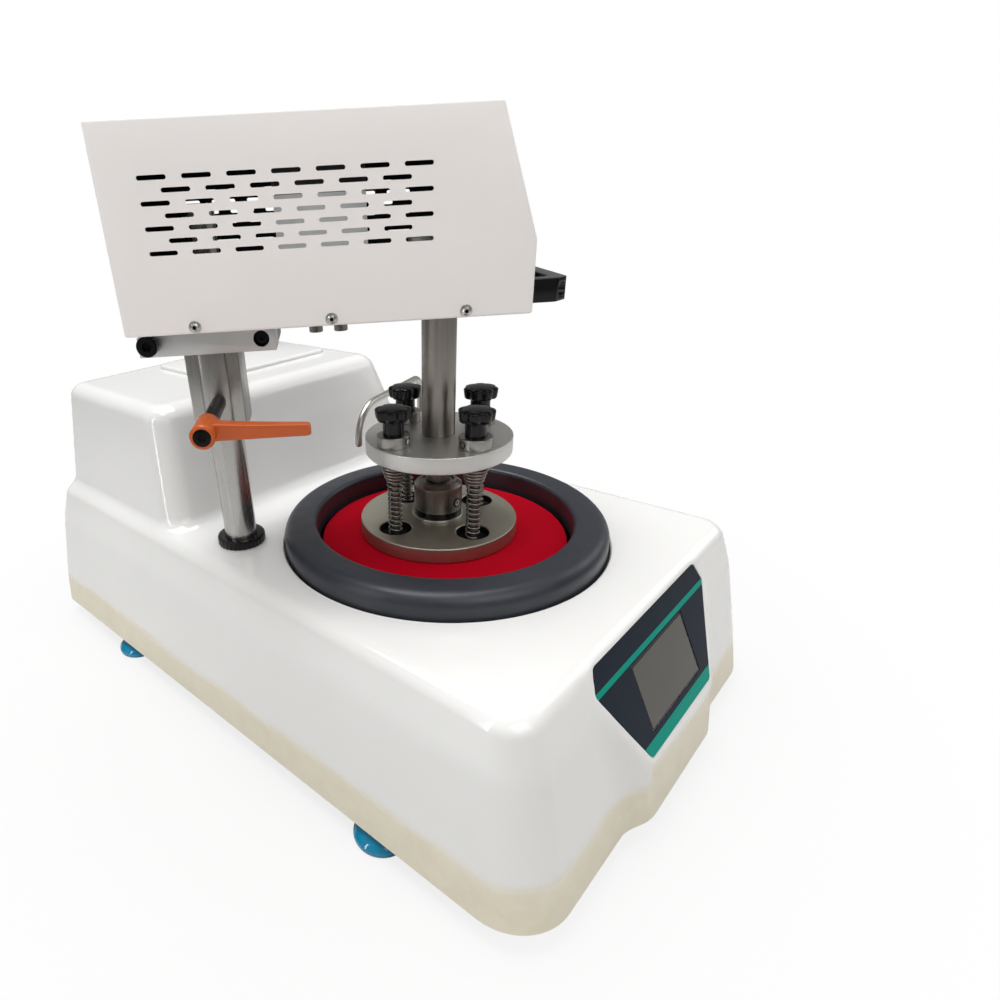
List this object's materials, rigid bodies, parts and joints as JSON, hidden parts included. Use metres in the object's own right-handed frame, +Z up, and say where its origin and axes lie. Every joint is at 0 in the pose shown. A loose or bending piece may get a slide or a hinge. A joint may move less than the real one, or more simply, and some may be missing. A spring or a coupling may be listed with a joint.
{
  "type": "metallographic grinder-polisher",
  "caption": "Bench grinder-polisher with a cloth-covered platen in a splash ring and a motorised head with sprung specimen plungers on a swinging, lifting column clamp.",
  "frame": {"origin": "on the bench top, under the middle of the machine's overall box; the platen axis is 1 mm to the right and 107 mm in front of it, and the deck 163 mm up", "axes": "+Z up along the platen axis, +X to the operator's right, +Y to the rear"},
  "size_m": [0.443, 0.7106, 0.506],
  "materials": {
    "shell_white": "gloss",
    "plate_steel": "satin",
    "foot_blue": "gloss",
    "bowl_plastic": "satin",
    "ring_slate": "satin",
    "cast_grey": "painted",
    "belt_rubber": "matte",
    "spigot_grey": "satin",
    "nozzle_white": "gloss",
    "black_plastic": "satin",
    "overlay_navy": "satin",
    "screen_grey": "gloss",
    "stainless": "brushed",
    "aluminium": "satin",
    "holder_bronze": "satin",
    "cloth_red": "matte",
    "bush_nylon": "satin",
    "clamp_steel": "machined",
    "cover_white": "powder coated",
    "lever_orange": "satin",
    "spring_steel": "drawn"
  },
  "bodies": {
    "base": {"shell": "shell_white", "base_plate": "plate_steel", "foot_1": "foot_blue", "foot_2": "foot_blue", "foot_3": "foot_blue", "foot_4": "foot_blue", "bowl": "bowl_plastic", "splash_ring": "ring_slate", "bearing_housing": "cast_grey", "drive_motor": "cast_grey", "drive_belt": "belt_rubber", "drain_spigot": "spigot_grey", "water_inlet": "nozzle_white", "power_inlet": "black_plastic", "panel_overlay": "overlay_navy", "touch_screen": "screen_grey", "service_lid": "shell_white", "column_tube": "stainless", "column_collar": "black_plastic", "spout_nut": "stainless"},
    "platen": {"platen_disc": "aluminium", "cloth": "cloth_red", "platen_shaft": "stainless", "drive_pulley": "aluminium"},
    "motor_rotor": {"motor_pulley": "stainless"},
    "mains_rocker": {"rocker_switch": "black_plastic"},
    "spout": {"water_spout": "stainless"},
    "carriage": {"column_bush": "bush_nylon"},
    "head": {"clamp_sleeve": "clamp_steel", "clamp_block": "clamp_steel", "clamp_bar": "clamp_steel", "head_chassis": "plate_steel", "head_cover": "cover_white", "handle": "black_plastic", "head_motor": "cast_grey", "spindle_housing": "aluminium", "head_fittings": "stainless", "lever_stud": "black_plastic"},
    "lever": {"clamp_lever": "lever_orange"},
    "spindle": {"spindle_tube": "stainless", "upper_disc": "aluminium", "coupling": "stainless", "holder_disc": "holder_bronze", "collar_1": "stainless", "collar_2": "stainless", "collar_3": "stainless", "collar_4": "stainless", "spring_1": "spring_steel", "spring_2": "spring_steel", "spring_3": "spring_steel", "spring_4": "spring_steel"},
    "plunger_1": {"knob_1": "black_plastic", "rod_1": "stainless"},
    "plunger_2": {"knob_2": "black_plastic", "rod_2": "stainless"},
    "plunger_3": {"knob_3": "black_plastic", "rod_3": "stainless"},
    "plunger_4": {"knob_4": "black_plastic", "rod_4": "stainless"}
  },
  "joints": [
    {"name": "platen_spin", "type": "hinge", "parent": "base", "child": "platen", "pos_m": [0.00088, -0.10675, 0.113], "axis": [0, 0, 1], "continuous": true},
    {"name": "motor_spin", "type": "hinge", "parent": "base", "child": "motor_rotor", "pos_m": [0.00088, 0.18125, 0.103], "axis": [0, 0, 1], "continuous": true},
    {"name": "mains_rock", "type": "hinge", "parent": "base", "child": "mains_rocker", "pos_m": [-0.10912, 0.32425, 0.103], "axis": [-1, 0, 0], "range_deg": [0, 18]},
    {"name": "spout_swing", "type": "hinge", "parent": "base", "child": "spout", "pos_m": [0.15088, 0.04125, 0.183], "axis": [0, 0, 1], "range_deg": [-22, 2]},
    {"name": "head_lift", "type": "slide", "parent": "base", "child": "carriage", "axis": [0, 0, 1], "range_m": [0, 0.06]},
    {"name": "head_swing", "type": "hinge", "parent": "carriage", "child": "head", "pos_m": [-0.13462, 0.03175, 0.313], "axis": [0, 0, 1], "range_deg": [-14, 8.5]},
    {"name": "lever_turn", "type": "hinge", "parent": "head", "child": "lever", "pos_m": [-0.20111, -0.04297, 0.307], "axis": [-0.6796, -0.7336, 0], "range_deg": [-30, 100]},
    {"name": "spindle_spin", "type": "hinge", "parent": "head", "child": "spindle", "pos_m": [0.00528, -0.09785, 0.363], "axis": [0, 0, 1], "continuous": true},
    {"name": "plunger_lift_1", "type": "slide", "parent": "spindle", "child": "plunger_1", "axis": [0, 0, 1], "range_m": [0, 0.012], "stiffness_N_per_m": 1500, "springref_m": -0.01, "deforming": ["spring_1"]},
    {"name": "plunger_lift_2", "type": "slide", "parent": "spindle", "child": "plunger_2", "axis": [0, 0, 1], "range_m": [0, 0.012], "stiffness_N_per_m": 1500, "springref_m": -0.01, "deforming": ["spring_2"]},
    {"name": "plunger_lift_3", "type": "slide", "parent": "spindle", "child": "plunger_3", "axis": [0, 0, 1], "range_m": [0, 0.012], "stiffness_N_per_m": 1500, "springref_m": -0.01, "deforming": ["spring_3"]},
    {"name": "plunger_lift_4", "type": "slide", "parent": "spindle", "child": "plunger_4", "axis": [0, 0, 1], "range_m": [0, 0.012], "stiffness_N_per_m": 1500, "springref_m": -0.01, "deforming": ["spring_4"]}
  ],
  "couplings": [
    {"joint": "motor_spin", "follows": "platen_spin", "ratio": 2.7368}
  ]
}
